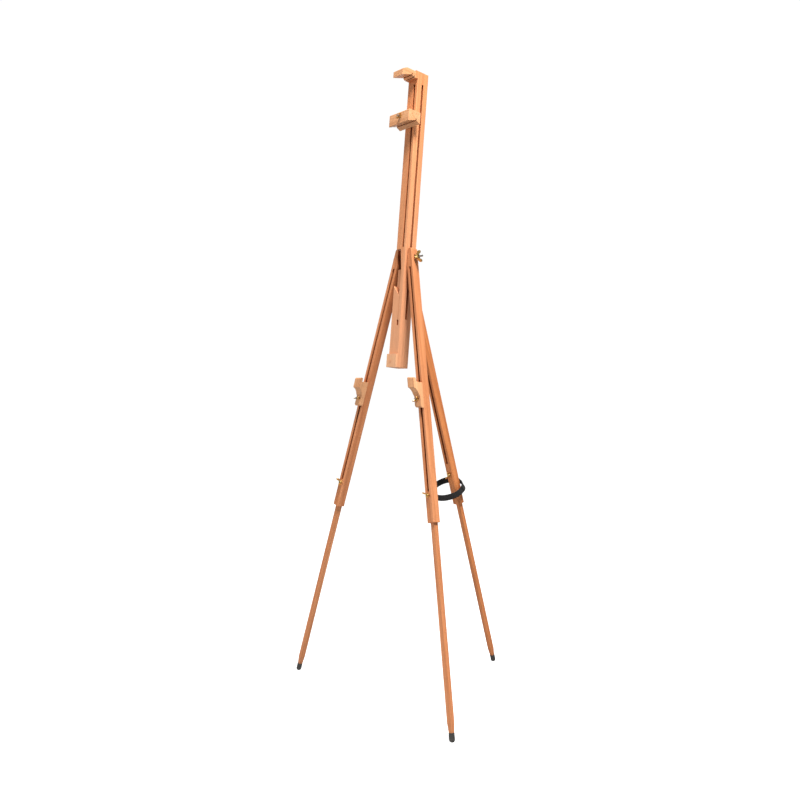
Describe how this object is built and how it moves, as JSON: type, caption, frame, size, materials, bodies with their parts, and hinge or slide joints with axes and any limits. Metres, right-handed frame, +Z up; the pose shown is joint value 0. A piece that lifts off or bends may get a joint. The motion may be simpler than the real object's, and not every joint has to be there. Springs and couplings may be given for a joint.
{
  "type": "field easel",
  "caption": "Folding wooden field easel with splayed telescopic legs, a sliding slotted mast, a canvas clamp and canvas brackets held by wing nuts.",
  "frame": {"origin": "on the floor, at the centre of the rectangle that the open easel covers", "axes": "+Z up the easel, +X towards the head wing nut on the painter's right, -Y towards the painter"},
  "size_m": [0.7706, 0.5912, 1.9863],
  "materials": {
    "beech": "oiled satin",
    "brass": "worn satin",
    "steel": "zinc plated",
    "rubber": "matte",
    "webbing": "woven"
  },
  "bodies": {
    "head": {"head_block": "beech", "head_plate_left": "steel", "head_plate_right": "steel", "head_plate_screws": "steel", "rear_hinge_pin": "steel"},
    "axle": {"head_bolt": "steel", "head_washers": "steel"},
    "head_nut": {"head_wing_nut": "brass"},
    "mast": {"mast_front_rail": "beech", "mast_back_rail": "beech", "mast_top_spacer": "beech", "mast_bottom_spacer": "beech", "mast_hook": "beech", "mast_hook_packer": "beech", "mast_stop_block": "beech", "mast_stop_plug": "beech"},
    "clamp": {"canvas_clamp": "beech", "clamp_pins": "brass", "clamp_bolt": "steel"},
    "clamp_nut": {"clamp_wing_nut": "brass"},
    "front_leg_right": {"front_leg_upper_right": "beech", "front_lock_bush_right": "brass"},
    "front_shin_right": {"front_leg_lower_right": "beech", "front_foot_right": "rubber"},
    "front_lock_right": {"front_lock_screw_right": "brass"},
    "bracket_right": {"canvas_bracket_right": "beech", "bracket_bolt_right": "steel"},
    "bracket_nut_right": {"bracket_wing_nut_right": "brass"},
    "front_leg_left": {"front_leg_upper_left": "beech", "front_lock_bush_left": "brass"},
    "front_shin_left": {"front_leg_lower_left": "beech", "front_foot_left": "rubber"},
    "front_lock_left": {"front_lock_screw_left": "brass"},
    "bracket_left": {"canvas_bracket_left": "beech", "bracket_bolt_left": "steel"},
    "bracket_nut_left": {"bracket_wing_nut_left": "brass"},
    "rear_leg": {"rear_leg_upper": "beech", "rear_lock_bush": "brass", "tie_strap": "webbing"},
    "rear_shin": {"rear_leg_lower": "beech", "rear_foot": "rubber"},
    "rear_lock": {"rear_lock_screw": "brass"}
  },
  "joints": [
    {"name": "mast_tilt", "type": "hinge", "parent": "head", "child": "axle", "pos_m": [0, -0.1285, 1.388], "axis": [-1, 0, 0], "range_deg": [-1.5, 85]},
    {"name": "mast_slide", "type": "slide", "parent": "axle", "child": "mast", "axis": [0, -0.0945, -0.9955], "range_m": [-0.19, 0.46]},
    {"name": "head_wing_nut_turn", "type": "hinge", "parent": "axle", "child": "head_nut", "pos_m": [0.0528, -0.1285, 1.388], "axis": [1, 0, 0], "continuous": true},
    {"name": "clamp_slide", "type": "slide", "parent": "mast", "child": "clamp", "axis": [0, 0.0945, 0.9955], "range_m": [-0.4, 0.095]},
    {"name": "clamp_nut_turn", "type": "hinge", "parent": "clamp", "child": "clamp_nut", "pos_m": [0.008, -0.15692, 1.83167], "axis": [0, -0.9955, 0.0945], "continuous": true},
    {"name": "front_leg_fold_right", "type": "hinge", "parent": "head", "child": "front_leg_right", "pos_m": [0.0378, -0.13172, 1.36045], "axis": [0, 0.9932, -0.1162], "range_deg": [0, 13.9]},
    {"name": "front_leg_length_right", "type": "slide", "parent": "front_leg_right", "child": "front_shin_right", "axis": [0.2414, -0.1127, -0.9639], "range_m": [-0.57, 0.1]},
    {"name": "front_lock_turn_right", "type": "hinge", "parent": "front_leg_right", "child": "front_lock_right", "pos_m": [0.21365, -0.22723, 0.65993], "axis": [0, -0.9932, 0.1162], "continuous": true},
    {"name": "bracket_slide_right", "type": "slide", "parent": "front_leg_right", "child": "bracket_right", "axis": [-0.2414, 0.1127, 0.9639], "range_m": [-0.248, 0.35]},
    {"name": "bracket_nut_turn_right", "type": "hinge", "parent": "bracket_right", "child": "bracket_nut_right", "pos_m": [0.14388, -0.20727, 0.93996], "axis": [0, -0.9932, 0.1162], "continuous": true},
    {"name": "front_leg_fold_left", "type": "hinge", "parent": "head", "child": "front_leg_left", "pos_m": [-0.0378, -0.13172, 1.36045], "axis": [0, -0.9932, 0.1162], "range_deg": [0, 13.9]},
    {"name": "front_leg_length_left", "type": "slide", "parent": "front_leg_left", "child": "front_shin_left", "axis": [-0.2414, -0.1127, -0.9639], "range_m": [-0.57, 0.1]},
    {"name": "front_lock_turn_left", "type": "hinge", "parent": "front_leg_left", "child": "front_lock_left", "pos_m": [-0.21365, -0.22723, 0.65993], "axis": [0, -0.9932, 0.1162], "continuous": true},
    {"name": "bracket_slide_left", "type": "slide", "parent": "front_leg_left", "child": "bracket_left", "axis": [0.2414, 0.1127, 0.9639], "range_m": [-0.248, 0.35]},
    {"name": "bracket_nut_turn_left", "type": "hinge", "parent": "bracket_left", "child": "bracket_nut_left", "pos_m": [-0.14388, -0.20727, 0.93996], "axis": [0, -0.9932, 0.1162], "continuous": true},
    {"name": "rear_leg_fold", "type": "hinge", "parent": "head", "child": "rear_leg", "pos_m": [0, -0.09711, 1.27761], "axis": [-1, 0, 0], "range_deg": [0, 23.3]},
    {"name": "rear_leg_length", "type": "slide", "parent": "rear_leg", "child": "rear_shin", "axis": [0, 0.2874, -0.9578], "range_m": [-0.485, 0.1]},
    {"name": "rear_lock_turn", "type": "hinge", "parent": "rear_leg", "child": "rear_lock", "pos_m": [0, 0.06784, 0.68083], "axis": [0, -0.9578, -0.2874], "continuous": true}
  ]
}
